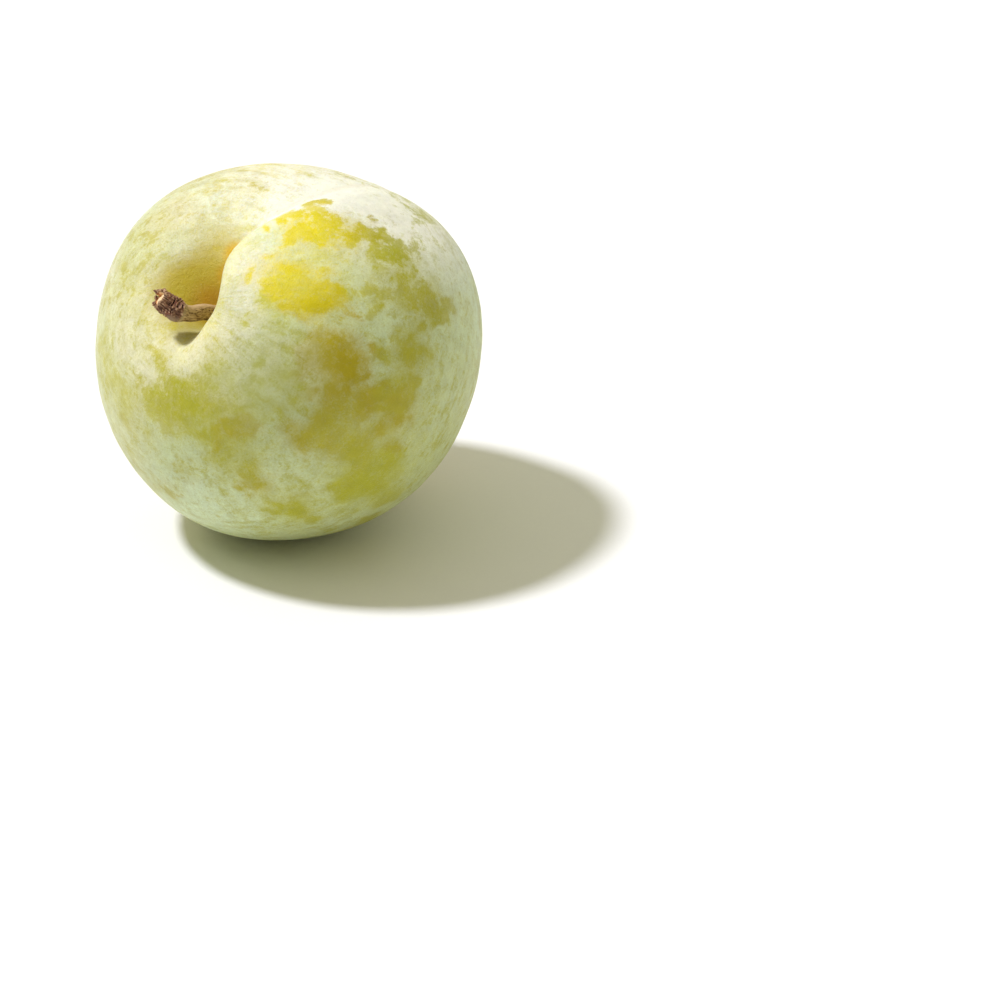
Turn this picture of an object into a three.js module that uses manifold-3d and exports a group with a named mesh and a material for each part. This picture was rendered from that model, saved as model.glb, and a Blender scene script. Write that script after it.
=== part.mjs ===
// A ripe plumcot, whole and as picked, lying on its cheek with its stem still in.
// Millimetres, +Z up. The origin is the middle of the small flat spot that the fruit rests on.
// The fruit is shaped in a frame of its own, then turned to the way it lies:
//   z  the stem axis, out of the stem end
//   x  towards the suture, the seam that runs from the stem hollow to the blossom end
//   y  towards the left cheek, whose shoulder slopes gently down to the seam
import * as THREE from "three";
import { mergeVertices } from "three/addons/utils/BufferGeometryUtils.js";
import Module from "manifold-3d";

const wasm = await Module();
wasm.setup();

// The fruit's body, before the hollow and the seam are pressed in
const HALF_SEAM = 27.9; // centre to the seam side, and to the back
const HALF_CHEEK = 27.9; // centre to either cheek
const HALF_AXIS = 27.75; // centre to the blossom end

// Swellings that make the body less than round: direction, height, and spread in radians
const SWELLINGS = [
  { name: "left shoulder", toward: [0.25, 0.80, 0.55], height: 1.65, spread: 0.55 },
  { name: "right flank", toward: [0.88, -0.38, -0.29], height: 2.0, spread: 0.5 },
  { name: "back", toward: [-0.99, -0.10, -0.05], height: 0.8, spread: 0.5 },
  { name: "underside, pressed in", toward: [-0.84, -0.48, -0.25], height: -0.8, spread: 0.6 },
];

// The stem hollow: a gentle slope under the left cheek, a steep wall under the right one
const HOLLOW_DEPTH = 8.6;
const HOLLOW_FLOOR = 0.6; // level floor round the stem's foot
const HOLLOW_FUNNEL = 1.2; // 1 is a pointed funnel, 2 a round bowl
const HOLLOW_SEAM_WAY = 8.6; // how far the hollow reaches in each direction
const HOLLOW_BACK_WAY = 4.2;
const HOLLOW_LEFT_WAY = 8.0;
const HOLLOW_RIGHT_WAY = 1.55;
const HOLLOW_OPEN_WAY = 2.0; // the right wall's reach where it opens out behind the stem
const OPENING = { from: 1.0, to: 6.5 }; // where it opens out, counted from the stem to the back

// The seam
const SEAM_DEPTH = 3.2; // at the hollow's rim
const SEAM_TAIL = 0.3; // depth that is left at the blossom end
const SEAM_START = { from: -6, to: 6 }; // where it comes up out of the hollow
const SEAM_FADE = { from: 0.3, to: 1.5 }; // polar angles between which it grows shallow
const SEAM_LEFT_WAY = 11.0; // width of the left flank
const SEAM_RIGHT_WAY = 2.0; // width of the right flank
const SEAM_SWAY = 3.4; // how far it sways to the left on its way over the shoulder
const SWAY_OUT = { from: 0, to: 9 };
const SWAY_BACK = { from: 10, to: 26 };

// The blossom end, a shallow dimple
const BLOSSOM_DEPTH = 0.5;
const BLOSSOM_RADIUS = 3.2;

// How the fruit lies, in degrees
const STEM_RISE = 37.7; // the stem axis above the table
const STEM_HEADING = 235; // its direction seen from above, counted from +X towards +Y
const SEAM_ROLL = 14; // the seam's turn about the stem axis, counted from the uppermost side
const FLAT_DEPTH = 0.42; // how much of the lowest cheek the flat spot takes off

// The stem: its path from the hollow's floor, and its radius by share of its length
const STEM_GAP = 1.0; // between its foot and the middle of the floor
const STEM_STEPS = [[0, 0.45, 0], [-0.45, 0.35, 3.8], [-1.9, 0.5, 7.6], [-2.4, 1.9, 9.5], [-2.6, 3.5, 11.0]];
const STEM_RADII = [
  [0.0, 1.05], [0.1, 1.05], [0.3, 1.12], [0.46, 1.15], [0.56, 1.32],
  [0.65, 1.6], [0.75, 1.6], [0.86, 1.42], [0.95, 1.25], [1.0, 1.0],
];

const SKIN_RINGS = 52;
const SKIN_SEGMENTS = 84;
const RING_CROWDING = 1.6; // 1 spaces the rings evenly, more crowds them towards the stem end
const STEM_RINGS = 26;
const STEM_SEGMENTS = 16;

const bell = (distance, width) => Math.exp(-((distance / width) ** 2));
const ramp = (range, value) => THREE.MathUtils.smoothstep(value, range.from, range.to);
const { lerp } = THREE.MathUtils;

function bodyRadius(direction) {
  const { x, y, z } = direction;
  let radius = 1 / Math.hypot(x / HALF_SEAM, y / HALF_CHEEK, z / HALF_AXIS);
  for (const { toward, height, spread } of SWELLINGS) {
    radius += height * bell(direction.angleTo(new THREE.Vector3(...toward)), spread);
  }
  return radius;
}

// Distance of a point to the left of the seam's line, negative to its right
function leftOfSeam({ x, y }) {
  return y - SEAM_SWAY * ramp(SWAY_OUT, x) * (1 - ramp(SWAY_BACK, x));
}

function seamDepth(point) {
  const off = leftOfSeam(point);
  const polar = Math.atan2(Math.hypot(point.x, point.y), point.z);
  const depth = lerp(SEAM_DEPTH, SEAM_TAIL, ramp(SEAM_FADE, polar));
  return depth * ramp(SEAM_START, point.x) * bell(off, off > 0 ? SEAM_LEFT_WAY : SEAM_RIGHT_WAY);
}

function hollowDepth(point) {
  if (point.z < 0) return 0;
  const off = leftOfSeam(point);
  const rightWay = lerp(HOLLOW_RIGHT_WAY, HOLLOW_OPEN_WAY, ramp(OPENING, -point.x));
  const acrossWay = off > 0 ? HOLLOW_LEFT_WAY : rightWay;
  const alongWay = point.x > 0 ? HOLLOW_SEAM_WAY : HOLLOW_BACK_WAY;
  const across = Math.max(0, Math.abs(off) - HOLLOW_FLOOR) / acrossWay;
  const along = Math.max(0, Math.abs(point.x) - HOLLOW_FLOOR) / alongWay;
  return HOLLOW_DEPTH * Math.exp(-(Math.hypot(along, across) ** HOLLOW_FUNNEL));
}

function blossomDepth(point) {
  return point.z < 0 ? BLOSSOM_DEPTH * bell(Math.hypot(point.x, point.y), BLOSSOM_RADIUS) : 0;
}

// The point of the skin in a direction from the body's centre
function skinPoint(direction) {
  const point = direction.clone().multiplyScalar(bodyRadius(direction));
  point.addScaledVector(direction, -seamDepth(point));
  point.z += blossomDepth(point) - hollowDepth(point);
  return point;
}

// A unit ball of rings about the stem axis, each vertex moved out to the skin
function skinGeometry() {
  const profile = [new THREE.Vector2(0, -1)];
  for (let ring = SKIN_RINGS - 1; ring > 0; ring--) {
    const polar = Math.PI * (ring / SKIN_RINGS) ** RING_CROWDING;
    profile.push(new THREE.Vector2(Math.sin(polar), Math.cos(polar)));
  }
  profile.push(new THREE.Vector2(0, 1));
  const geometry = new THREE.LatheGeometry(profile, SKIN_SEGMENTS).rotateX(Math.PI / 2);
  const position = geometry.attributes.position;
  const direction = new THREE.Vector3();
  for (let i = 0; i < position.count; i++) {
    direction.fromBufferAttribute(position, i).normalize();
    position.setXYZ(i, ...skinPoint(direction).toArray());
  }
  return geometry;
}

// A straight lathe along z from 0 to 1, bent along the stem's path
function stemGeometry(foothold) {
  const path = new THREE.CatmullRomCurve3(
    STEM_STEPS.map(([x, y, z]) => new THREE.Vector3(x, y, foothold + z)));
  const side = new THREE.SplineCurve(STEM_RADII.map(([share, r]) => new THREE.Vector2(r, share)));
  const profile = side.getPoints(STEM_RINGS);
  profile.unshift(new THREE.Vector2(0, 0));
  profile.push(new THREE.Vector2(0, 1));
  const geometry = new THREE.LatheGeometry(profile, STEM_SEGMENTS).rotateX(Math.PI / 2);
  const position = geometry.attributes.position;
  const straight = new THREE.Vector3();
  for (let i = 0; i < position.count; i++) {
    straight.fromBufferAttribute(position, i);
    const share = THREE.MathUtils.clamp(straight.z, 0, 1);
    const along = path.getTangentAt(share);
    const across = new THREE.Vector3(0, 1, 0).cross(along).normalize();
    const bent = path.getPointAt(share).addScaledVector(across, straight.x);
    bent.addScaledVector(along.cross(across), straight.y);
    position.setXYZ(i, ...bent.toArray());
  }
  return geometry;
}

// The turn from the fruit's own frame to the way it lies
function lyingTurn() {
  const rise = THREE.MathUtils.degToRad(STEM_RISE);
  const heading = THREE.MathUtils.degToRad(STEM_HEADING);
  const roll = THREE.MathUtils.degToRad(SEAM_ROLL);
  const stemAxis = new THREE.Vector3(
    Math.cos(rise) * Math.cos(heading), Math.cos(rise) * Math.sin(heading), Math.sin(rise));
  const level = new THREE.Vector3(0, 0, 1).cross(stemAxis).normalize();
  const uppermost = stemAxis.clone().cross(level);
  const seam = uppermost.multiplyScalar(Math.cos(roll)).addScaledVector(level, Math.sin(roll));
  const leftCheek = stemAxis.clone().cross(seam);
  return new THREE.Matrix4().makeBasis(seam, leftCheek, stemAxis);
}

// The shift that puts the lowest point over the origin, pressed into the table by the flat spot
function restingShift(geometry) {
  const position = geometry.attributes.position;
  const lowest = new THREE.Vector3(0, 0, Infinity);
  const point = new THREE.Vector3();
  for (let i = 0; i < position.count; i++) {
    point.fromBufferAttribute(position, i);
    if (point.z < lowest.z) lowest.copy(point);
  }
  return new THREE.Matrix4().makeTranslation(-lowest.x, -lowest.y, -lowest.z - FLAT_DEPTH);
}

function toSolid(geometry) {
  const bare = geometry.clone();
  bare.deleteAttribute("normal");
  bare.deleteAttribute("uv");
  const merged = mergeVertices(bare, 1e-4);
  return new wasm.Manifold(new wasm.Mesh({
    numProp: 3,
    vertProperties: merged.attributes.position.array,
    triVerts: new Uint32Array(merged.index.array),
  }));
}

function toGeometry(solid) {
  const { vertProperties, triVerts } = solid.getMesh();
  const geometry = new THREE.BufferGeometry();
  geometry.setAttribute("position", new THREE.BufferAttribute(vertProperties, 3));
  geometry.setIndex(new THREE.BufferAttribute(triVerts, 1));
  geometry.computeVertexNormals();
  return geometry;
}

function namedMesh(name, geometry, color, roughness) {
  const mesh = new THREE.Mesh(geometry, new THREE.MeshStandardMaterial({ color, roughness }));
  mesh.name = name;
  return mesh;
}

const lie = lyingTurn();
const skin = skinGeometry().applyMatrix4(lie);
const rest = restingShift(skin);
skin.applyMatrix4(rest);
const table = new THREE.BoxGeometry(100, 100, 10).translate(0, 0, -5);
const fruit = toGeometry(toSolid(skin).subtract(toSolid(table)));

const foothold = skinPoint(new THREE.Vector3(0, 0, 1)).z + STEM_GAP;
const stem = stemGeometry(foothold).applyMatrix4(lie).applyMatrix4(rest);

const plumcot = new THREE.Group();
plumcot.add(namedMesh("fruit", fruit, 0xd8dca0, 0.55));
plumcot.add(namedMesh("stem", stem, 0x7a5f3f, 0.85));
export default plumcot;
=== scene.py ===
# %% [markdown]
# # A ripe plumcot under its bloom
# A plumcot is a cross of plum and apricot. This one has pale yellow skin under a waxy bloom, a
# seam down one side, and a short stalk in a deep hollow. The plain model that loads first gives
# its true size and place. The lesson models a finer skin and stalk on it, and then paints both.

import math
import random

import bpy
import numpy as np
from mathutils import Matrix, Vector, noise


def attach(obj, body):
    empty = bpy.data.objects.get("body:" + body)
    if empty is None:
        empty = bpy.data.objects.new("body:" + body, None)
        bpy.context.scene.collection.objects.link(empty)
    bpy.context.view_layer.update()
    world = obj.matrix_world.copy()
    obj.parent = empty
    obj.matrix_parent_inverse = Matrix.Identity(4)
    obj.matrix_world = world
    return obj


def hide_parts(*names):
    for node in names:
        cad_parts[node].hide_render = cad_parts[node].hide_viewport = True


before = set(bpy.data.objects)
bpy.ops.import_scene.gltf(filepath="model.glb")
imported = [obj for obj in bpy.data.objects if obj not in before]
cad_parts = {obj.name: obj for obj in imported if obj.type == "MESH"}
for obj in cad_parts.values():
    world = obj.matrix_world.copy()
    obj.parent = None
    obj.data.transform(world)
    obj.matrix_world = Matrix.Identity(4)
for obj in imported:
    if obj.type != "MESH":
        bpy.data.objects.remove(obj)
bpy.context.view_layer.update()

# %% [markdown]
# ## The fruit's own frame
# The fruit lies on its cheek, so its stalk points down towards the viewer's left. Work is easier
# in a frame that belongs to the fruit: z is the stalk's axis, x points to the seam and y to the
# left cheek, in millimetres from the middle of the fruit. Two helpers go from that frame to the
# model and back.

# %% Describe how the fruit lies
MM = 0.001
BODY_CENTRE = Vector((0.30, -0.33, 27.17)) * MM
STEM_RISE = math.radians(37.7)
STEM_HEADING = math.radians(235)
SEAM_ROLL = math.radians(14)

stem_axis = Vector((math.cos(STEM_RISE) * math.cos(STEM_HEADING),
                    math.cos(STEM_RISE) * math.sin(STEM_HEADING), math.sin(STEM_RISE)))
level = Vector((0, 0, 1)).cross(stem_axis).normalized()
uppermost = stem_axis.cross(level)
seam_way = uppermost * math.cos(SEAM_ROLL) + level * math.sin(SEAM_ROLL)
left_way = stem_axis.cross(seam_way)
FRUIT_TURN = Matrix((seam_way, left_way, stem_axis)).transposed()


def from_fruit(x, y, z):
    return BODY_CENTRE + FRUIT_TURN @ Vector((x, y, z)) * MM


def points_in_fruit(piece):
    """Every vertex of a piece in the fruit's own frame, in millimetres."""
    places = np.empty(len(piece.data.vertices) * 3)
    piece.data.vertices.foreach_get("co", places)
    return (places.reshape(-1, 3) - np.array(BODY_CENTRE)) @ np.array(FRUIT_TURN) / MM


print("stem axis:", tuple(round(v, 3) for v in stem_axis))

# %% [markdown]
# ## Helpers for modelling
# An operator acts on all that is selected, so each step begins by picking one piece alone. A
# modifier is added, set and applied in one go.

# %% Pick a piece, choose its vertices, apply a modifier
def pick(piece):
    if bpy.context.object and bpy.context.object.mode != "OBJECT":
        bpy.ops.object.mode_set(mode="OBJECT")
    bpy.ops.object.select_all(action="DESELECT")
    piece.select_set(True)
    bpy.context.view_layer.objects.active = piece


def edit_where(piece, chosen):
    """Opens a piece in edit mode with just the chosen vertices selected."""
    pick(piece)
    bpy.ops.object.mode_set(mode="EDIT")
    bpy.ops.mesh.select_mode(type="VERT")
    bpy.ops.mesh.select_all(action="DESELECT")
    bpy.ops.object.mode_set(mode="OBJECT")
    piece.data.vertices.foreach_set("select", np.asarray(chosen, dtype=bool))
    bpy.ops.object.mode_set(mode="EDIT")


def finish_with(piece, kind, **settings):
    pick(piece)
    modifier = piece.modifiers.new(kind.lower(), kind)
    for name, value in settings.items():
        setattr(modifier, name, value)
    bpy.ops.object.modifier_apply(modifier=modifier.name)


def soft_noise(name, grain):
    texture = bpy.data.textures.new(name, "CLOUDS")
    texture.noise_scale = grain
    texture.noise_depth = 2
    return texture


# %% [markdown]
# ## The skin
# The real skin is one smooth sheet that dives into the stalk's hollow. It could be carved from a
# cube or drawn as a profile and spun, but the plain model already has the true form, only in flat
# facets. So a ball of fine rings is blown up inside it until it meets the form on every side. The
# ball starts nearer the stalk, which crowds its rings into the hollow, where the skin turns most
# sharply.

# %% Make a smooth form from the plain fruit
pick(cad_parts["fruit"])
bpy.ops.object.duplicate()
form = bpy.context.object
form.name = "form"
bpy.ops.object.mode_set(mode="EDIT")
bpy.ops.mesh.select_all(action="SELECT")
bpy.ops.mesh.remove_doubles(threshold=0.002 * MM)
bpy.ops.mesh.tris_convert_to_quads(
    face_threshold=math.radians(50), shape_threshold=math.radians(180))
finish_with(form, "SUBSURF", levels=2, render_levels=2)
print("form faces:", len(form.data.polygons))

# %% Blow a fine ball up to the form
BALL_OFFSET = 7.0
pick(form)
bpy.ops.object.select_all(action="DESELECT")
bpy.ops.mesh.primitive_uv_sphere_add(
    segments=168, ring_count=112, radius=5 * MM, location=from_fruit(0, 0, BALL_OFFSET),
    rotation=FRUIT_TURN.to_euler())
skin = bpy.context.object
skin.name = "plumcot_skin"
bpy.ops.object.transform_apply(location=True, rotation=True, scale=True)
finish_with(skin, "SHRINKWRAP", target=form, wrap_method="PROJECT", use_positive_direction=True)
finish_with(skin, "SMOOTH", factor=0.5, iterations=3)
bpy.data.objects.remove(form)
print("skin, mm:", [round(side / MM, 2) for side in skin.dimensions])

# %% [markdown]
# ## Relief in the skin
# Where the two halves of the fruit met as it grew, the skin keeps a thin crease along the seam.
# At the far end from the stalk the flower left a small sunken scar with a dry point. The whole
# skin also swells a little unevenly. All this could be left to a bump in the finish, but then the
# outline would stay smooth, so the surface itself is pushed in and out, by small moves with a
# soft falloff.

# %% Press in the crease along the seam
SEAM_SWAY = 3.4


def ramp(start, end, value):
    """Rises softly from 0 at the start to 1 at the end, or falls if the end comes first."""
    share = np.clip((value - start) / (end - start), 0, 1)
    return share * share * (3 - 2 * share)


def left_of_seam(points):
    x, y = points[:, 0], points[:, 1]
    return y - SEAM_SWAY * ramp(0, 9, x) * (1 - ramp(10, 26, x))


def push(piece, chosen, millimetres, reach):
    """Moves the chosen vertices outwards, and their neighbours within reach a little less."""
    edit_where(piece, chosen)
    bpy.ops.transform.shrink_fatten(
        value=millimetres * MM, use_even_offset=False, use_proportional_edit=True,
        proportional_edit_falloff="SMOOTH", proportional_size=reach * MM)
    bpy.ops.object.mode_set(mode="OBJECT")


for start, end, depth in ((5, 12, 0.16), (12, 20, 0.14), (20, 40, 0.08)):
    places = points_in_fruit(skin)
    x, z = places[:, 0], places[:, 2]
    near = (np.abs(left_of_seam(places)) < 0.4) & (x >= start) & (x < end) & (z > -12)
    push(skin, near, -depth, 1.2)
    print("crease vertices:", int(near.sum()))

# %% Sink the scar at the flower's end
places = points_in_fruit(skin)
from_axis = np.hypot(places[:, 0], places[:, 1])
far_end = places[:, 2] < 0
push(skin, far_end & (from_axis < 0.8), -0.35, 2.2)
places = points_in_fruit(skin)
from_axis = np.hypot(places[:, 0], places[:, 1])
push(skin, far_end & (from_axis < 0.45), 0.45, 0.7)

# %% Swell the skin unevenly, but not where it rests
resting = np.array([vertex.co.z for vertex in skin.data.vertices])
loose = skin.vertex_groups.new(name="loose")
for index, height in enumerate(resting):
    loose.add([index], float(ramp(1.0 * MM, 8.0 * MM, height)), "REPLACE")
for breadth, height in ((16, 0.5), (6, 0.14)):
    finish_with(skin, "DISPLACE", texture=soft_noise(f"swell {breadth}", breadth * MM),
                mid_level=0.5, strength=height * MM, texture_coords="LOCAL", vertex_group="loose")
finish_with(skin, "SUBSURF", levels=1, render_levels=1)
pick(skin)
bpy.ops.object.shade_smooth()
bpy.ops.object.mode_set(mode="EDIT")
bpy.ops.mesh.select_all(action="SELECT")
bpy.ops.mesh.normals_make_consistent(inside=False)
bpy.ops.object.mode_set(mode="OBJECT")
print("skin triangles:", 2 * len(skin.data.polygons))

# %% [markdown]
# ## Where the bloom is rubbed off
# The bloom is a thin wax that leaves and fingers rub away, and the yellow skin shows through. One
# noise all over could stand for it, but wear has its places: on the shoulders and down the front.
# So the marks are listed one by one, each by its turn about the stalk's axis and its angle down
# from the stalk. A mark is a soft oval with crumbs around it, and smooth noise shifts both, so
# that no mark looks stamped. A second list has the places where the wax lies thicker. Three masks
# are painted from them: how rubbed the skin is, how ripe it is there, and how much thicker the
# wax is.

# %% List the rubbed marks
# turn and angle down in degrees, reach down and around in millimetres, how rubbed, how ripe
RIGHT_LOBE = (
    (-11, 43, 2.9, 2.6, 1.0, 1.0), (-14, 47, 2.4, 2.2, 1.0, 0.9), (-21, 49, 2.4, 1.8, 0.85, 0.9),
    (-25, 57, 2.6, 1.7, 0.85, 0.6), (-33, 41, 1.6, 1.2, 0.5, 0.5), (-38, 31, 2.9, 2.0, 0.86, 1.0),
    (-57, 37, 3.3, 1.7, 1.0, 0.95), (-49, 29, 1.8, 1.1, 0.5, 0.6), (-61, 24, 1.9, 1.5, 0.5, 0.2),
    (-80, 18, 1.0, 0.8, 0.4, 0.1),
    (-35, 66, 2.7, 2.1, 0.9, 0.2), (-29, 61, 2.0, 0.9, 0.6, 0.3), (-48, 72, 3.8, 2.4, 0.7, 0.3),
    (-52, 79, 2.2, 1.5, 0.7, 0.2), (-48, 57, 2.4, 2.0, 0.3, 0.3), (-17, 88, 2.5, 1.8, 0.7, 0.1),
)
FRONT = (
    (-78, 48, 2.6, 2.6, 1.0, 1.0), (-82, 55, 1.8, 1.5, 0.9, 0.8), (-67, 71, 2.8, 2.6, 0.95, 0.3),
    (-77, 70, 2.0, 1.9, 0.7, 0.3), (-94, 55, 2.2, 2.5, 0.85, 0.6), (-109, 55, 1.8, 1.7, 0.9, 0.6),
    (-86, 66, 2.4, 1.8, 0.9, 0.7), (-102, 69, 4.2, 3.2, 0.9, 0.5), (-108, 84, 4.3, 3.4, 1.0, 0.1),
    (-82, 74, 1.9, 1.8, 0.7, 0.5), (-96, 37, 1.2, 1.0, 0.6, 0.3), (-108, 42, 1.4, 1.2, 0.6, 0.4),
)
FOOT = (
    (-131, 78, 2.4, 2.4, 1.0, 0.2), (-134, 61, 1.7, 1.6, 0.8, 0.5), (-139, 48, 2.2, 2.5, 0.7, 0.3),
    (-135, 41, 1.1, 2.0, 0.9, 0.6), (-117, 75, 0.9, 0.7, 0.8, 0.4), (-174, 67, 1.6, 1.6, 0.6, 0.4),
    (-160, 55, 1.6, 1.2, 0.5, 0.3),
)
LEFT_LOBE = (
    (-156, 31, 2.6, 7.5, 0.85, 0.25), (166, 40, 3.2, 3.0, 0.5, 0.3), (-120, 24, 1.7, 2.2, 0.5, 0.1),
    (139, 43, 2.5, 2.5, 0.5, 0.2), (48, 57, 2.0, 4.0, 0.35, 0.7), (27, 52, 1.4, 1.7, 0.4, 0.7),
    (66, 40, 5.0, 8.0, 0.25, 0.5), (100, 32, 4.0, 6.0, 0.25, 0.4),
)
UNSEEN_MARKS = 30
# turn and angle down in degrees, reach down and around in millimetres, how much more bloom
THICK_BLOOM = (
    (-8, 64, 9.0, 8.0, 0.96), (-34, 86, 10.0, 9.0, 0.50), (-2, 41, 5.0, 4.5, 0.34),
    (-60, 19, 3.4, 7.0, 0.46), (32, 50, 10.0, 12.0, 0.28), (110, 36, 13.0, 13.0, 0.20),
    (178, 29, 4.5, 4.5, 0.24), (-53, 50, 4.5, 4.5, 0.20), (-166, 72, 8.0, 9.0, 0.18),
    (-153, 19, 3.5, 4.5, 0.20), (-162, 58, 6.0, 6.0, 0.10), (-66, 60, 2.6, 3.0, 0.16),
    (-79, 63, 2.4, 2.6, 0.14), (-118, 58, 4.0, 3.0, 0.10), (60, 110, 22.0, 26.0, 0.20),
    (150, 120, 18.0, 20.0, 0.16),
)
UNSEEN_TURNS, UNSEEN_DOWN = (20, 240), (75, 165)
CRUMBS = 7
SKIN_RADIUS = 28.3

chance = random.Random(11)
marks = list(RIGHT_LOBE + FRONT + FOOT + LEFT_LOBE)
for _ in range(UNSEEN_MARKS):
    marks.append((chance.uniform(*UNSEEN_TURNS), chance.uniform(*UNSEEN_DOWN),
                  chance.uniform(1.5, 4.5), chance.uniform(1.2, 3.5),
                  chance.uniform(0.5, 1.0), chance.uniform(0.1, 0.8)))
crumbs = []
for turn, down, reach_down, reach_around, rub, ripeness in marks:
    for _ in range(CRUMBS):
        heading, far = chance.uniform(0, 2 * math.pi), chance.uniform(1.1, 2.3)
        shift_down = math.degrees(reach_down * far * math.cos(heading) / SKIN_RADIUS)
        shift_turn = math.degrees(reach_around * far * math.sin(heading) / SKIN_RADIUS)
        size = chance.uniform(0.15, 0.45)
        worn = rub * chance.uniform(0.4, 0.9)
        crumbs.append((turn + shift_turn / math.sin(math.radians(down)), down + shift_down,
                       reach_down * size, reach_around * size, worn, ripeness))
print("marks:", len(marks), "crumbs:", len(crumbs), "thick places:", len(THICK_BLOOM))

# %% Paint the masks on the skin
noise.seed_set(8)  # with no seed, Blender takes the clock, and the blots would differ every time
STIR = 1.6


def stir(place):
    """Shifts a place on the skin a little, and so turns a smooth oval into an uneven blot."""
    return Vector(place) + STIR * noise.turbulence_vector(Vector(place) * 0.22, 4, False)


places = points_in_fruit(skin)
ways = np.array([stir(place).normalized() for place in places])


def oval(turn, down, reach_down, reach_around):
    """How much of a soft oval lies on each vertex, from 0 to 1."""
    turn, down = math.radians(turn), math.radians(down)
    middle = Vector((math.sin(down) * math.cos(turn), math.sin(down) * math.sin(turn),
                     math.cos(down)))
    middle = np.array(stir(middle * SKIN_RADIUS).normalized())
    downwards = np.array((math.cos(down) * math.cos(turn), math.cos(down) * math.sin(turn),
                          -math.sin(down)))
    around = np.array((-math.sin(turn), math.cos(turn), 0))
    away = (ways - middle) * SKIN_RADIUS
    spread = (away @ downwards / reach_down) ** 2 + (away @ around / reach_around) ** 2
    return np.exp(-0.7 * spread) * (ways @ middle > 0)


RIPE_ELSEWHERE, ELSEWHERE_WEIGHT = 0.15, 0.10  # how ripe the skin is away from the marks
kept = np.ones(len(ways))
ripe_sum = np.full(len(ways), RIPE_ELSEWHERE * ELSEWHERE_WEIGHT)
ripe_weight = np.full(len(ways), ELSEWHERE_WEIGHT)
for turn, down, reach_down, reach_around, rub, ripeness in marks + crumbs:
    mark = oval(turn, down, reach_down, reach_around)
    kept *= 1 - rub * mark
    ripe_sum += ripeness * mark
    ripe_weight += mark
thick = sum(more * oval(turn, down, reach_down, reach_around)
            for turn, down, reach_down, reach_around, more in THICK_BLOOM)


def paint(piece, name, values):
    attribute = piece.data.attributes.new(name, "FLOAT", "POINT")
    attribute.data.foreach_set("value", np.asarray(values, dtype=np.float32))


paint(skin, "rubbed", 1 - kept)
paint(skin, "ripe", ripe_sum / ripe_weight)
paint(skin, "thick", thick)
print("rubbed share:", round(float(np.mean(1 - kept)), 3),
      "thick:", round(float(np.mean(thick)), 3))

# %% [markdown]
# ## The stalk
# A plum's stalk is a thin woody rod. This one ends in the knob that sat on the twig, creased all
# over and torn open where it snapped off. It could be pushed out of a bent tube, but a straight
# rod is easier to measure, so it is turned upright on the bench, ring by ring, and bent into
# place at the end.

# %% Turn the stalk upright, ring by ring
STALK_RINGS = (  # height and radius in millimetres
    (-2.5, 1.35), (-1.9, 1.28), (-1.2, 1.20), (0.2, 1.16), (1.6, 1.17), (3.0, 1.15), (4.3, 1.16),
    (5.4, 1.17), (6.3, 1.20), (6.7, 1.27), (6.9, 1.38), (7.05, 1.30), (7.35, 1.36), (7.8, 1.42),
    (8.3, 1.40), (8.8, 1.34), (9.3, 1.32), (9.75, 1.30), (10.1, 1.29), (10.4, 1.26),
)
TOP = STALK_RINGS[-1][0]
pick(skin)
bpy.ops.object.select_all(action="DESELECT")
first_height, radius = STALK_RINGS[0]
bpy.ops.mesh.primitive_circle_add(vertices=40, radius=radius * MM, fill_type="NGON",
                                  location=(0, 0, first_height * MM))
stalk = bpy.context.object
stalk.name = "plumcot_stem"
bpy.ops.object.transform_apply(location=True, rotation=True, scale=True)
bpy.ops.object.mode_set(mode="EDIT")
bpy.ops.mesh.select_mode(type="FACE")
bpy.ops.mesh.select_all(action="SELECT")
below = first_height
for height, next_radius in STALK_RINGS[1:]:
    rise = (0, 0, (height - below) * MM)
    bpy.ops.mesh.extrude_region_move(TRANSFORM_OT_translate={"value": rise})
    bpy.ops.transform.resize(value=(next_radius / radius, next_radius / radius, 1),
                             center_override=(0, 0, height * MM))
    below, radius = height, next_radius
print("stalk vertices:", len(stalk.data.vertices))

# %% [markdown]
# ## The torn end
# The stalk snapped on a slant, so its rim is low towards the viewer, at a turn of 0 degrees, and
# high behind. The pith inside is sunk a little. A flat cut would look sawn, so the end is inset
# ring by ring, each ring raised or sunk. One tall splinter and five short ones stand on the rim,
# each pulled up from a few faces in three shrinking steps. All else is deselected first, because
# an extrude would pull stray edges along and leave the stalk open.

# %% Tear the end open
TEAR_SLANT = math.radians(14)
bpy.ops.transform.rotate(value=-TEAR_SLANT, orient_axis="Y", center_override=(0, 0, TOP * MM))
for border, x, y, z in ((0.26, 0, 0, -0.22), (0.35, 0.06, 0, 0.20), (0.30, 0, 0.05, -0.18)):
    bpy.ops.mesh.inset(thickness=border * MM, depth=0)
    bpy.ops.transform.translate(value=(x * MM, y * MM, z * MM))
bpy.ops.mesh.poke()
bpy.ops.object.mode_set(mode="OBJECT")
slant = sum((face.normal for face in stalk.data.polygons
             if face.center.xy.length < 0.4 * MM), Vector())
print("torn face looks towards:", tuple(round(v, 2) for v in slant.normalized()))


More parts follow.
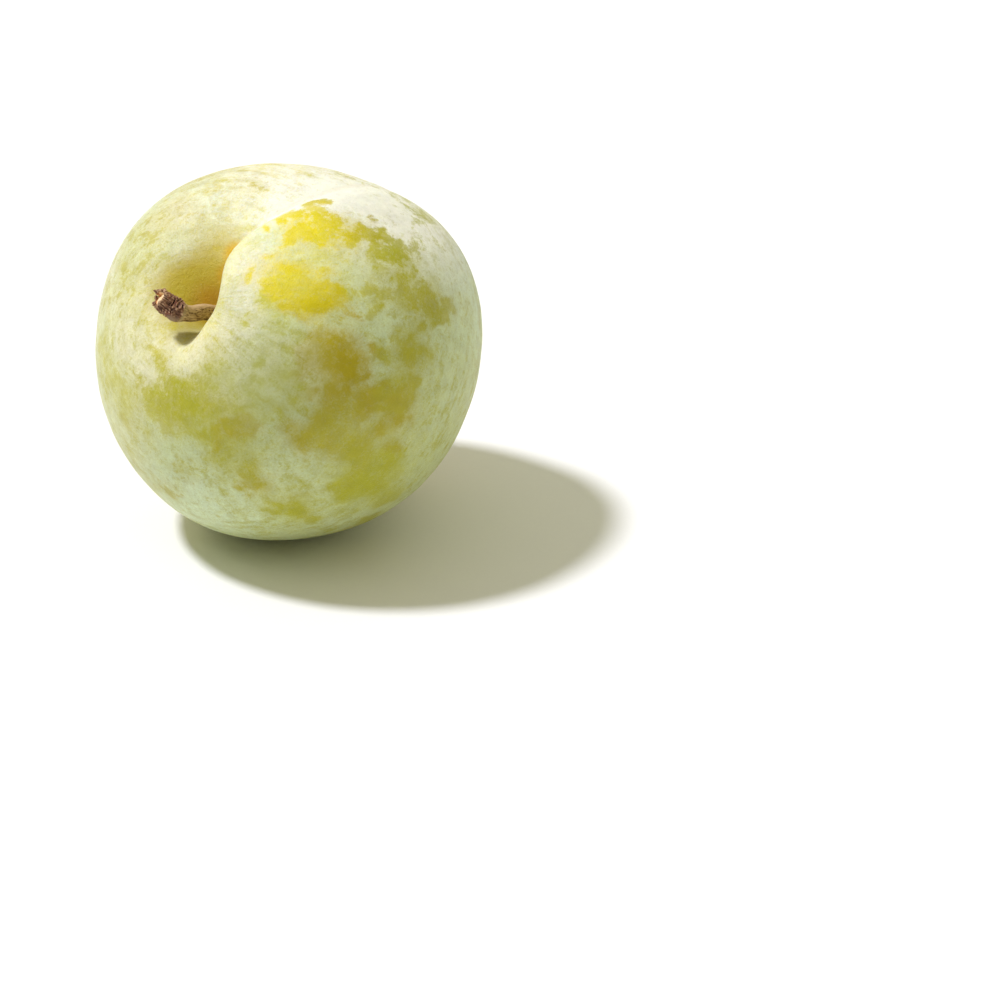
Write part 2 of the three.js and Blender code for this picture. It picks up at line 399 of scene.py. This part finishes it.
def raise_splinter(turn, width, height, lean):
    """Pulls a splinter out of the rim, by its turn and width in degrees, height and lean in mm."""
    pick(stalk)
    bpy.ops.object.mode_set(mode="EDIT")
    bpy.ops.mesh.select_all(action="DESELECT")
    bpy.ops.object.mode_set(mode="OBJECT")
    outwards = Vector((math.cos(math.radians(turn)), math.sin(math.radians(turn)), 0))
    root = Vector()
    for face in stalk.data.polygons:
        turned = math.degrees(math.atan2(face.center.y, face.center.x))
        apart = abs((turned - turn + 180) % 360 - 180)
        reach = face.center.xy.length / MM
        above_tear = face.center.z / MM - TOP + math.tan(TEAR_SLANT) * face.center.x / MM
        face.select = bool(0.95 < reach < 1.25 and face.normal.z > 0.4 and apart < width / 2
                           and abs(above_tear) < 0.2)
        if face.select:
            root = face.center.copy()
    bpy.ops.object.mode_set(mode="EDIT")
    for share in (0.45, 0.35, 0.2):
        step = (outwards * lean + Vector((0, 0, height))) * share * MM
        bpy.ops.mesh.extrude_region_move(TRANSFORM_OT_translate={"value": step})
        root = root + step
        bpy.ops.transform.resize(value=(0.66, 0.66, 0.8), center_override=root)
    bpy.ops.object.mode_set(mode="OBJECT")


SPLINTERS = ((130, 54, 1.25, 0.05), (78, 34, 0.4, 0.30), (185, 34, 0.4, 0.15), (235, 30, 0.3, 0.10),
             (290, 34, 0.25, 0.15), (340, 30, 0.2, 0.10))
for turn, width, height, lean in SPLINTERS:
    raise_splinter(turn, width, height, lean)
print("stalk faces:", len(stalk.data.polygons))

# %% [markdown]
# ## Creases in the stalk
# The rod is finely ribbed along its length. The knob is lumpy, with one smooth swelling low on it
# near the collar, and its creases run round it on a slant below and along it near the tip. They
# could be sculpted one by one, but a texture carves them all alike and the same every time. Each
# is carved by a texture that is drawn out along its own guide, an empty that is turned and
# stretched, and is held to its part of the stalk by a vertex group. Soft noise gives lumps, and
# hard noise gives creases.

# %% Swell the knob and mark its parts
BULGE_TURN, BULGE_HEIGHT = math.radians(-62), 7.75
upright = np.array([tuple(vertex.co) for vertex in stalk.data.vertices]) / MM
bulge = np.array((1.45 * math.cos(BULGE_TURN), 1.45 * math.sin(BULGE_TURN), BULGE_HEIGHT))
push(stalk, np.linalg.norm(upright - bulge, axis=1) < 0.45, 0.50, 1.1)
finish_with(stalk, "SUBSURF", levels=2, render_levels=2)
upright = np.array([tuple(vertex.co) for vertex in stalk.data.vertices]) / MM
on_knob = ramp(6.9, 7.3, upright[:, 2])
to_tip = ramp(8.5, 9.6, upright[:, 2])
from_bulge = np.linalg.norm(upright - bulge, axis=1)
reach = np.hypot(upright[:, 0], upright[:, 1])
above_tear = upright[:, 2] - TOP + math.tan(TEAR_SLANT) * upright[:, 0]
torn = ramp(-0.45, -0.2, above_tear) * ramp(1.12, 0.95, reach) * ramp(0.60, 0.40, above_tear)
creased = on_knob * ramp(0.5, 1.2, from_bulge) * ramp(1.0, 0.5, above_tear) * (1 - 0.65 * torn)
for name, weights in (("rod", 1 - on_knob), ("knob", creased),
                      ("knob base", creased * (1 - to_tip)), ("knob tip", creased * to_tip)):
    group = stalk.vertex_groups.new(name=name)
    for index, weight in enumerate(weights):
        group.add([index], float(weight), "REPLACE")
print("stalk vertices:", len(stalk.data.vertices))

# %% Carve ribs and creases
def creases(name, grain):
    texture = soft_noise(name, grain)
    texture.noise_type = "HARD_NOISE"
    return texture


def carve(group, texture, depth, turned, stretch):
    """Presses a texture into one part of the stalk, along a guide with its stretch in mm."""
    bpy.ops.object.select_all(action="DESELECT")
    bpy.ops.object.empty_add(rotation=[math.radians(angle) for angle in turned])
    guide = bpy.context.object
    guide.scale = Vector(stretch) * MM
    bpy.context.view_layer.update()
    finish_with(stalk, "DISPLACE", texture=texture, mid_level=0.5, strength=depth * MM,
                texture_coords="OBJECT", texture_coords_object=guide, vertex_group=group)
    bpy.data.objects.remove(guide)


carve("rod", soft_noise("ribs", 0.55), 0.16, (0, 0, 0), (1, 1, 5))
carve("rod", soft_noise("dents", 0.30), 0.10, (0, 0, 0), (1, 1, 2))
carve("knob", soft_noise("lumps", 1.1), 0.55, (0, 30, 0), (1, 1, 1.4))
carve("knob base", creases("creases round", 0.34), -0.90, (14, -24, 0), (4.6, 4.6, 1.1))
carve("knob tip", creases("creases along", 0.40), -0.70, (0, 10, 0), (1.0, 1.0, 4.6))
carve("knob", creases("cracks", 0.22), -0.08, (0, 0, 0), (1, 1, 1.2))
carve("knob", soft_noise("crumbs", 0.14), 0.06, (0, 0, 0), (1, 1, 1.6))
bench = stalk.data.attributes.new("bench", "FLOAT_VECTOR", "POINT")
bench.data.foreach_set("vector", upright.astype(np.float32).ravel())
pith = ramp(-1.4, -1.0, above_tear) * ramp(0.85, 0.60, reach)
paint(stalk, "torn", np.maximum(torn, pith))
paint(stalk, "pith", pith)
paint(stalk, "smooth", ramp(1.1, 0.4, from_bulge))

# %% Bend the stalk into the hollow
FOOTHOLD = 20.2
STALK_PATH = ((0, 0.45, 0), (-0.45, 0.35, 2.2), (-1.9, 0.5, 5.9), (-2.15, 1.9, 7.7),
              (-2.1, 3.7, 9.4))
path_data = bpy.data.curves.new("stalk path", "CURVE")
path_data.dimensions = "3D"
path_data.resolution_u = 32
line = path_data.splines.new("BEZIER")
line.bezier_points.add(len(STALK_PATH) - 1)
for point, (x, y, z) in zip(line.bezier_points, STALK_PATH):
    point.co = from_fruit(x, y, FOOTHOLD + z)
    point.handle_left_type = point.handle_right_type = "AUTO"
path = bpy.data.objects.new("stalk path", path_data)
bpy.context.collection.objects.link(path)
bpy.context.view_layer.update()
finish_with(stalk, "CURVE", object=path, deform_axis="POS_Z")
bpy.data.objects.remove(path)
pick(stalk)
bpy.ops.object.shade_smooth_by_angle(angle=math.radians(50))
bpy.ops.object.mode_set(mode="EDIT")
bpy.ops.mesh.select_all(action="SELECT")
bpy.ops.mesh.normals_make_consistent(inside=False)
bpy.ops.object.mode_set(mode="OBJECT")
print("stalk, mm:", [round(side / MM, 2) for side in stalk.dimensions])

# %% [markdown]
# ## Helpers for materials
# A material here is a tree of nodes. `wire` adds one node, sets its choices and fills its inputs,
# each with a value or with another node's output.

# %% Add nodes in one line each
def wire(tree, kind, inputs=(), **choices):
    made = tree.nodes.new(kind)
    for name, value in choices.items():
        setattr(made, name, value)
    for name, value in dict(inputs).items():
        if isinstance(value, bpy.types.NodeSocket):
            tree.links.new(value, made.inputs[name])
        else:
            made.inputs[name].default_value = value
    return made


def maths(tree, operation, first, second=0.0, third=0.0):
    made = wire(tree, "ShaderNodeMath", {0: first, 1: second, 2: third}, operation=operation)
    return made.outputs[0]


def vector_maths(tree, operation, first, second):
    made = wire(tree, "ShaderNodeVectorMath", {0: first, 1: second}, operation=operation)
    return made.outputs["Value" if operation in ("DISTANCE", "DOT_PRODUCT") else "Vector"]


def blend(tree, share, under, over):
    made = wire(tree, "ShaderNodeMix", data_type="RGBA")
    for socket, value in ((made.inputs[0], share), (made.inputs[6], under), (made.inputs[7], over)):
        if isinstance(value, bpy.types.NodeSocket):
            tree.links.new(value, socket)
        else:
            socket.default_value = value
    return made.outputs[2]


def soft_step(tree, value, start, end, low=0.0, high=1.0):
    made = wire(tree, "ShaderNodeMapRange",
                {"Value": value, "From Min": start, "From Max": end, "To Min": low, "To Max": high},
                interpolation_type="SMOOTHSTEP")
    return made.outputs["Result"]


def colour(red, green, blue):
    return (red, green, blue, 1.0)


# %% [markdown]
# ## Shared effects
# Skin, stalk and floor all need fine grain, and skin and stalk need cloudy mottling. The skin
# also has small dots, its pores. Each effect is a node group, built once, with its size as an
# input.

# %% Build the shared groups
def new_group(name, inputs, outputs):
    group = bpy.data.node_groups.new(name, "ShaderNodeTree")
    for label, kind, value in inputs:
        socket = group.interface.new_socket(label, in_out="INPUT", socket_type=kind)
        if value is not None:
            socket.default_value = value
    for label, kind in outputs:
        group.interface.new_socket(label, in_out="OUTPUT", socket_type=kind)
    entry = group.nodes.new("NodeGroupInput")
    leave = group.nodes.new("NodeGroupOutput")
    return group, entry.outputs, leave.inputs


mottle, given, result = new_group(
    "mottling", (("Vector", "NodeSocketVector", None), ("Scale", "NodeSocketFloat", 5.0),
                 ("Detail", "NodeSocketFloat", 4.0), ("Low", "NodeSocketFloat", 0.4),
                 ("High", "NodeSocketFloat", 0.6)), (("Mask", "NodeSocketFloat"),))
cloud = wire(mottle, "ShaderNodeTexNoise", {"Vector": given["Vector"], "Scale": given["Scale"],
                                            "Detail": given["Detail"], "Roughness": 0.6})
mottle.links.new(soft_step(mottle, cloud.outputs[0], given["Low"], given["High"]), result["Mask"])

grain, given, result = new_group(
    "fine grain", (("Vector", "NodeSocketVector", None), ("Scale", "NodeSocketFloat", 100.0)),
    (("Height", "NodeSocketFloat"),))
coarse = wire(grain, "ShaderNodeTexNoise", {"Vector": given["Vector"], "Scale": given["Scale"],
                                            "Detail": 3.0, "Roughness": 0.65})
grain.links.new(coarse.outputs[0], result["Height"])

dots, given, result = new_group(
    "small dots", (("Vector", "NodeSocketVector", None), ("Scale", "NodeSocketFloat", 20.0),
                   ("Size", "NodeSocketFloat", 0.12)), (("Mask", "NodeSocketFloat"),))
cells = wire(dots, "ShaderNodeTexVoronoi", {"Vector": given["Vector"], "Scale": given["Scale"],
                                            "Randomness": 1.0})
shrunk = maths(dots, "MULTIPLY", given["Size"], 0.4)
dots.links.new(soft_step(dots, cells.outputs["Distance"], given["Size"], shrunk), result["Mask"])


def use_group(tree, group, inputs):
    made = wire(tree, "ShaderNodeGroup", node_tree=group)
    for name, value in inputs.items():
        if isinstance(value, bpy.types.NodeSocket):
            tree.links.new(value, made.inputs[name])
        else:
            made.inputs[name].default_value = value
    return made.outputs[0]


def new_material(name):
    material = bpy.data.materials.new(name)
    material.use_nodes = True
    tree = material.node_tree
    return material, tree, tree.nodes["Principled BSDF"]


# %% [markdown]
# ## The skin's finish
# Three layers make the look: skin that ripens from green through yellow to orange, wax over it
# that is nearly white, and wear that takes the wax away. One blotchy colour would look painted
# on, so each layer has its own nodes and they are mixed in the order in which they lie. The skin
# is warmest on the cheek that hung in the sun and greenest low on the other, and the wax goes
# from mint there to cream around the stalk and where the seam runs over the top. The pattern is
# set in the fruit's own frame, in millimetres, so that streaks can run down from the stalk and
# rings can run round it.

# %% Place the pattern in the fruit's own frame
SUNNY_SIDE = (14.0, -6.0, 24.0)  # the cheek that hung in the sun
CROWN = (18.0, 12.0, 16.5)  # the top of the left cheek
CREAM_SIDE = (26.0, 0.0, 8.0)  # where the seam runs over the top
bloom, tree, shader = new_material("waxy plumcot skin")
spot = wire(tree, "ShaderNodeTexCoord").outputs["Object"]
in_fruit = wire(tree, "ShaderNodeMapping", {
    "Vector": spot, "Location": BODY_CENTRE, "Rotation": FRUIT_TURN.to_euler(), "Scale": (MM,) * 3},
    vector_type="TEXTURE").outputs[0]
axes = wire(tree, "ShaderNodeSeparateXYZ", {0: in_fruit}).outputs
from_axis = maths(tree, "SQRT", maths(tree, "ADD", maths(tree, "POWER", axes["X"], 2.0),
                                      maths(tree, "POWER", axes["Y"], 2.0)))
down = maths(tree, "ARCTAN2", from_axis, axes["Z"])
rubbed = wire(tree, "ShaderNodeAttribute", attribute_name="rubbed").outputs["Fac"]
ripe = wire(tree, "ShaderNodeAttribute", attribute_name="ripe").outputs["Fac"]


def centred(value, weight):
    return maths(tree, "MULTIPLY", maths(tree, "SUBTRACT", value, 0.5), weight)


def plus(*values):
    total = values[0]
    for value in values[1:]:
        total = maths(tree, "ADD", total, value)
    return total


def times(first, second):
    return maths(tree, "MULTIPLY", first, second)


def cloud(vector, scale, detail, roughness, distortion=0.0):
    return wire(tree, "ShaderNodeTexNoise", {
        "Vector": vector, "Scale": scale, "Detail": detail, "Roughness": roughness,
        "Distortion": distortion}).outputs[0]


def strokes(across, along):
    """Noise drawn out along the fruit's rings or down its sides, by cells across and along."""
    drawn_out = wire(tree, "ShaderNodeCombineXYZ", {
        "X": times(maths(tree, "DIVIDE", axes["X"], from_axis), across),
        "Y": times(maths(tree, "DIVIDE", axes["Y"], from_axis), across),
        "Z": times(down, along)}).outputs[0]
    return cloud(drawn_out, 1.0, 5.0, 0.6)


# %% Wear the wax thin
thick = wire(tree, "ShaderNodeAttribute", attribute_name="thick").outputs["Fac"]
blotches = cloud(in_fruit, 0.12, 8.0, 0.62, 0.3)
flecks = cloud(in_fruit, 0.40, 7.0, 0.85, 0.2)
tints = cloud(in_fruit, 0.07, 3.0, 0.5)
streaks = strokes(11.0, 2.2)
rings = strokes(3.2, 24.0)
moved = vector_maths(tree, "ADD", in_fruit, (40.0, 0.0, 0.0))
speck = use_group(tree, grain, {"Vector": in_fruit, "Scale": 3.4})
leftwards = soft_step(tree, axes["Y"], -5.0, 5.0)
to_rim = maths(tree, "MAXIMUM", leftwards, soft_step(tree, down, 1.15, 1.45))
drawn = plus(times(centred(rings, 1.0), to_rim),
             times(centred(streaks, 1.0), maths(tree, "SUBTRACT", 1.0, to_rim)))
bare = soft_step(
    tree, plus(rubbed, centred(blotches, 2.2), centred(flecks, 3.6), times(drawn, 1.4)), 0.04, 0.84)
COVER = 0.33  # how well the wax hides the skin where nothing has rubbed it
cover = plus(COVER, thick)
uneven = plus(centred(blotches, 1.1), centred(flecks, 3.8), centred(speck, 1.0),
              times(drawn, plus(1.9, times(leftwards, 0.5))))
uneven = times(uneven, plus(0.42, times(cover, 0.3)))
left_over = maths(tree, "SUBTRACT", 1.0, bare)
wax = plus(times(cover, left_over), times(uneven, plus(0.4, times(left_over, 0.6))))
wax = maths(tree, "MAXIMUM", wax, 0.0)

# %% Mix skin and wax
ripeness = plus(ripe, centred(tints, 0.6), centred(flecks, 0.5))
hue = soft_step(tree, ripeness, 0.05, 0.95)
from_sun = vector_maths(tree, "DISTANCE", in_fruit, SUNNY_SIDE)
sunny = soft_step(tree, from_sun, 18.0, 4.5)
near_stalk = soft_step(tree, plus(down, centred(tints, -1.2)), 0.85, 0.40)
from_crown = vector_maths(tree, "DISTANCE", in_fruit, CROWN)
crown = maths(tree, "MAXIMUM", soft_step(tree, from_crown, 18.0, 6.0),
              times(soft_step(tree, down, 0.45, 0.22), 0.6))
young_flesh = blend(tree, leftwards, colour(0.44, 0.44, 0.02), colour(0.50, 0.48, 0.03))
young_flesh = blend(tree, crown, young_flesh, colour(0.73, 0.62, 0.03))
dull_flesh = blend(tree, hue, young_flesh, colour(0.43, 0.35, 0.003))
sunny_flesh = blend(tree, hue, colour(0.65, 0.63, 0.03), colour(0.82, 0.69, 0.004))
flesh = blend(tree, sunny, dull_flesh, sunny_flesh)
MINT, PALE_MINT = colour(0.76, 0.91, 0.71), colour(0.82, 0.89, 0.71)
CREAM = colour(0.92, 0.92, 0.78)
pale_side = maths(tree, "MAXIMUM", near_stalk, soft_step(
    tree, vector_maths(tree, "DISTANCE", in_fruit, CREAM_SIDE), 27.0, 12.0))
bloom_tone = blend(tree, pale_side, blend(tree, leftwards, MINT, PALE_MINT), CREAM)
tone = blend(tree, wax, flesh, bloom_tone)
shades = plus(1.0, centred(cloud(moved, 0.5, 7.0, 0.85), 0.6))
tone = vector_maths(tree, "MULTIPLY", tone, wire(tree, "ShaderNodeCombineXYZ", {
    "X": shades, "Y": shades, "Z": shades}).outputs[0])

# %% Warm the hollow, paint bounce light and the stalk's shadow, draw the seam and the flower's halo
HOLLOW = (0.9, 4.7, 19.5)
FLOWER_END = (0.0, 0.0, -27.5)
SCAR = (0.0, 0.0, -27.3)
to_hollow = vector_maths(tree, "DISTANCE", in_fruit, HOLLOW)
hollow = soft_step(tree, plus(to_hollow, centred(blotches, -4.0)), 8.8, 4.2)
tone = blend(tree, times(hollow, 0.96), tone, colour(0.50, 0.39, 0.010))
# Spots on the skin: tints of its own, painted bounce light in the hollow, and a painted shadow
TINTS_BOUNCE_AND_SHADOW = (  # where it is, how far it reaches in millimetres, how strong, its colour
    ((8.0, 4.9, 19.6), 6.0, 0.68, colour(0.66, 0.54, 0.08)),
    # painted bounce light, orange in the hollow and by the lip; the deepest one is darker, painted
    # shade
    ((1.0, 2.6, 18.8), 4.8, 0.85, colour(0.50, 0.275, 0.012)),
    ((9.5, 2.5, 22.0), 3.2, 0.6, colour(0.62, 0.36, 0.02)),
    ((8.6, 3.4, 19.4), 2.7, 0.85, colour(0.82, 0.50, 0.010)),
    ((5.6, 3.2, 18.8), 2.4, 0.75, colour(0.66, 0.38, 0.010)),
    # the stalk's painted shadow on the skin below it, darker and yellower
    ((-4.4, 0.4, 23.5), 3.4, 0.6, colour(0.42, 0.36, 0.06)),
    # darker and greener over the middle of the front
    ((-2.6, -15.4, 23.0), 12.0, 0.42, colour(0.44, 0.50, 0.22)),
    ((3.4, -5.8, 26.9), 5.0, 0.22, colour(0.50, 0.53, 0.30)),
)
for place, reach, strength, spot_tone in TINTS_BOUNCE_AND_SHADOW:
    near = soft_step(tree, vector_maths(tree, "DISTANCE", in_fruit, place), reach, 0.8)
    tone = blend(tree, times(near, strength), tone, spot_tone)
sway = times(soft_step(tree, axes["X"], 0.0, 9.0), soft_step(tree, axes["X"], 10.0, 26.0, 1.0, 0.0))
off_seam = maths(tree, "ABSOLUTE", maths(tree, "SUBTRACT", axes["Y"], times(sway, SEAM_SWAY)))
seam = times(soft_step(tree, off_seam, 0.9, 0.1), soft_step(tree, axes["X"], 4.0, 11.0))
tone = blend(tree, times(seam, 0.14), tone, colour(0.72, 0.50, 0.26))
halo = soft_step(tree, vector_maths(tree, "DISTANCE", in_fruit, FLOWER_END), 12.0, 1.5)
stipple = use_group(tree, mottle, {"Vector": in_fruit, "Scale": 2.1, "Detail": 2.0, "Low": 0.40,
                                   "High": 0.62})
tone = blend(tree, times(halo, plus(times(stipple, 0.5), 0.25)), tone, colour(0.80, 0.42, 0.06))
scar = soft_step(tree, vector_maths(tree, "DISTANCE", in_fruit, SCAR), 0.85, 0.40)
tone = blend(tree, times(scar, 0.8), tone, colour(0.16, 0.09, 0.04))
pores = use_group(tree, dots, {"Vector": in_fruit, "Scale": 0.9, "Size": 0.12})
tone = blend(tree, times(pores, 0.35), tone, colour(0.62, 0.60, 0.20))
tree.links.new(tone, shader.inputs["Base Color"])

# %% Give the skin its grain and its soft shine
height = plus(times(speck, 0.9), times(flecks, 1.6), times(drawn, 0.9), times(wax, 0.5))
bumps = wire(tree, "ShaderNodeBump", {"Height": height, "Strength": 0.6, "Distance": 0.14 * MM})
tree.links.new(bumps.outputs[0], shader.inputs["Normal"])
tree.links.new(plus(times(wax, 0.26), 0.34), shader.inputs["Roughness"])
shader.inputs["Subsurface Weight"].default_value = 0.2
shader.inputs["Subsurface Radius"].default_value = (1.0, 0.75, 0.25)
shader.inputs["Subsurface Scale"].default_value = 1.5 * MM
shader.inputs["Specular IOR Level"].default_value = 0.3
shader.inputs["Sheen Weight"].default_value = 0.08
shader.inputs["Sheen Roughness"].default_value = 0.45
skin.data.materials.clear()
skin.data.materials.append(bloom)
print("skin nodes:", len(tree.nodes))

# %% [markdown]
# ## The stalk's finish
# The rod is tan with dark specks along it, which gather towards its underside as painted shade.
# Its upper side is painted paler, a painted highlight where the lamp falls. Its collar is
# straw-coloured, and the knob is purple-brown. The raised edges of its wrinkles are pale, partly
# as dry fibre and partly as painted highlight, and its creases are near black, as painted shade.
# Inside the tear the fibre is fresh and orange, round cream pith, both painted brighter than their
# own colour as painted light on the torn face. The pattern follows the upright shape that was
# remembered on the bench, so it bends with the rod.

# %% Paint the rod, the knob and the collar
bark, tree, shader = new_material("dry plum stalk")
bench = wire(tree, "ShaderNodeAttribute", attribute_name="bench").outputs["Vector"]
torn = wire(tree, "ShaderNodeAttribute", attribute_name="torn").outputs["Fac"]
pith = wire(tree, "ShaderNodeAttribute", attribute_name="pith").outputs["Fac"]
smooth = wire(tree, "ShaderNodeAttribute", attribute_name="smooth").outputs["Fac"]
on_bench = wire(tree, "ShaderNodeSeparateXYZ", {0: bench}).outputs
up_stalk = on_bench["Z"]
drawn_out = wire(tree, "ShaderNodeMapping", {"Vector": bench, "Scale": (1.0, 1.0, 0.30)}).outputs[0]
fibre = use_group(tree, mottle, {"Vector": drawn_out, "Scale": 2.4, "Detail": 5.0, "Low": 0.38,
                                 "High": 0.66})
flecks = use_group(tree, mottle, {"Vector": drawn_out, "Scale": 5.5, "Detail": 3.0, "Low": 0.49,
                                  "High": 0.60})
rod_tone = blend(tree, fibre, colour(0.46, 0.31, 0.13), colour(0.27, 0.16, 0.05))
# painted highlight: the rod's upper side is painted paler, where the lamp falls on it
painted_top_light = soft_step(tree, on_bench["Y"], 0.6, 1.15)
rod_tone = blend(tree, times(painted_top_light, 0.65), rod_tone, colour(0.66, 0.47, 0.27))
# dark specks, gathered towards the underside as painted shade
specks_and_underside_shade = times(flecks, soft_step(tree, on_bench["Y"], 1.15, 0.7, 0.2, 0.9))
rod_tone = blend(tree, specks_and_underside_shade, rod_tone, colour(0.10, 0.05, 0.012))
crumple = use_group(tree, mottle, {"Vector": bench, "Scale": 1.5, "Detail": 6.0, "Low": 0.35,
                                   "High": 0.68})
blush = use_group(tree, mottle, {"Vector": bench, "Scale": 0.9, "Detail": 2.0, "Low": 0.50,
                                 "High": 0.66})
edges = wire(tree, "ShaderNodeNewGeometry").outputs["Pointiness"]
knob_tone = blend(tree, crumple, colour(0.11, 0.045, 0.028), colour(0.25, 0.12, 0.06))
knob_tone = blend(tree, times(blush, 0.6), knob_tone, colour(0.36, 0.12, 0.07))
# pale on the wrinkles' raised edges: partly dry fibre, partly painted highlight
knob_tone = blend(tree, soft_step(tree, edges, 0.52, 0.60), knob_tone, colour(0.56, 0.36, 0.21))
# near black down in the creases: painted shade
knob_tone = blend(tree, soft_step(tree, edges, 0.495, 0.44), knob_tone, colour(0.035, 0.013, 0.008))
knob_tone = blend(tree, times(smooth, 0.8), knob_tone, colour(0.27, 0.20, 0.12))
tone = blend(tree, soft_step(tree, up_stalk, 6.9, 7.3), rod_tone, knob_tone)
collar = times(soft_step(tree, up_stalk, 6.5, 6.85), soft_step(tree, up_stalk, 7.15, 6.95))
tone = blend(tree, times(collar, 0.45), tone, colour(0.46, 0.36, 0.20))
# fresh fibre and cream pith, painted brighter than their own colour as painted light on the torn
# face
fresh_and_painted_light = blend(tree, crumple, colour(0.80, 0.30, 0.07), colour(1.0, 0.82, 0.50))
fresh_and_painted_light = blend(tree, times(pith, 0.5), fresh_and_painted_light, colour(1.0, 0.88, 0.58))
tone = blend(tree, torn, tone, fresh_and_painted_light)
tree.links.new(tone, shader.inputs["Base Color"])

# %% Roughen the stalk
rough = use_group(tree, grain, {"Vector": drawn_out, "Scale": 8.0})
bumps = wire(tree, "ShaderNodeBump", {"Height": rough, "Strength": 0.6, "Distance": 0.08 * MM})
tree.links.new(bumps.outputs[0], shader.inputs["Normal"])
tree.links.new(plus(times(rough, 0.25), 0.50), shader.inputs["Roughness"])
shader.inputs["Specular IOR Level"].default_value = 0.25
stalk.data.materials.clear()
stalk.data.materials.append(bark)

# %% [markdown]
# ## Tie the pieces to the plain model
# The plain model still gives the weight and the way it rests. Each new piece moves with its body
# and stands for one plain solid, which is hidden.

for piece, node, finish in ((skin, "fruit", "skin"), (stalk, "stem", "stem")):
    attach(piece, "root")
    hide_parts(node)

# %% [markdown]
# ## The table, the light and the camera
# The fruit lies on plain white paper under one soft lamp, high on the left, which gives it one
# clear shadow. A wide panel overhead and pale walls all round fill that shadow, so that the dark
# side still shows its colour. The camera looks down at it from in front, from far off, which
# keeps it round.

# %% Lay the paper
pick(skin)
bpy.ops.object.select_all(action="DESELECT")
bpy.ops.mesh.primitive_plane_add(size=12, location=(0, 0, 0))
paper = bpy.context.object
paper.name = "paper"
white, tree, shader = new_material("white paper")
spot = wire(tree, "ShaderNodeTexCoord").outputs["Object"]
tooth = use_group(tree, grain, {"Vector": spot, "Scale": 1500.0})
tree.links.new(blend(tree, tooth, colour(0.88, 0.88, 0.88), colour(0.92, 0.92, 0.92)),
               shader.inputs["Base Color"])
shader.inputs["Roughness"].default_value = 0.8
paper.data.materials.append(white)

# %% Hang the lamp, the panel and the pale walls
def hang(name, way, strength, spread, tint):
    data = bpy.data.lights.new(name, "SUN")
    data.energy = strength
    data.angle = math.radians(spread)
    data.color = tint
    hung = bpy.data.objects.new(name, data)
    hung.rotation_euler = Vector(way).to_track_quat("Z", "Y").to_euler()
    bpy.context.collection.objects.link(hung)


hang("soft lamp", (-0.497, 0.04, 0.866), 2.75, 7, (1.0, 1.0, 1.10))
hang("wide panel", (0.20, 0.36, 0.91), 0.95, 130, (1.0, 0.97, 0.82))
walls = bpy.data.worlds.new("pale walls")
bpy.context.scene.world = walls
walls.use_nodes = True
walls.node_tree.nodes["Background"].inputs["Color"].default_value = (1.0, 0.95, 0.62, 1.0)
walls.node_tree.nodes["Background"].inputs["Strength"].default_value = 0.23
bpy.context.scene.view_settings.view_transform = "Standard"

# %% Set the camera
LOOK_DOWN = math.radians(27.5)
DISTANCE = 600 * MM
ASIDE, ABOVE = -31.35 * MM, 21.5 * MM  # where the fruit's middle lies from the line of sight
camera_turn = Matrix(((1, 0, 0), (0, math.sin(LOOK_DOWN), -math.cos(LOOK_DOWN)),
                      (0, math.cos(LOOK_DOWN), math.sin(LOOK_DOWN))))
camera_data = bpy.data.cameras.new("camera")
camera_data.lens = 147
camera_data.sensor_width = 36
camera_data.clip_start, camera_data.clip_end = 0.01, 50
camera = bpy.data.objects.new("camera", camera_data)
place = BODY_CENTRE - camera_turn @ Vector((ASIDE, ABOVE, -DISTANCE))
camera.matrix_world = Matrix.Translation(place) @ camera_turn.to_4x4()
bpy.context.collection.objects.link(camera)
bpy.context.scene.camera = camera
print("camera at, mm:", [round(v / MM) for v in place])
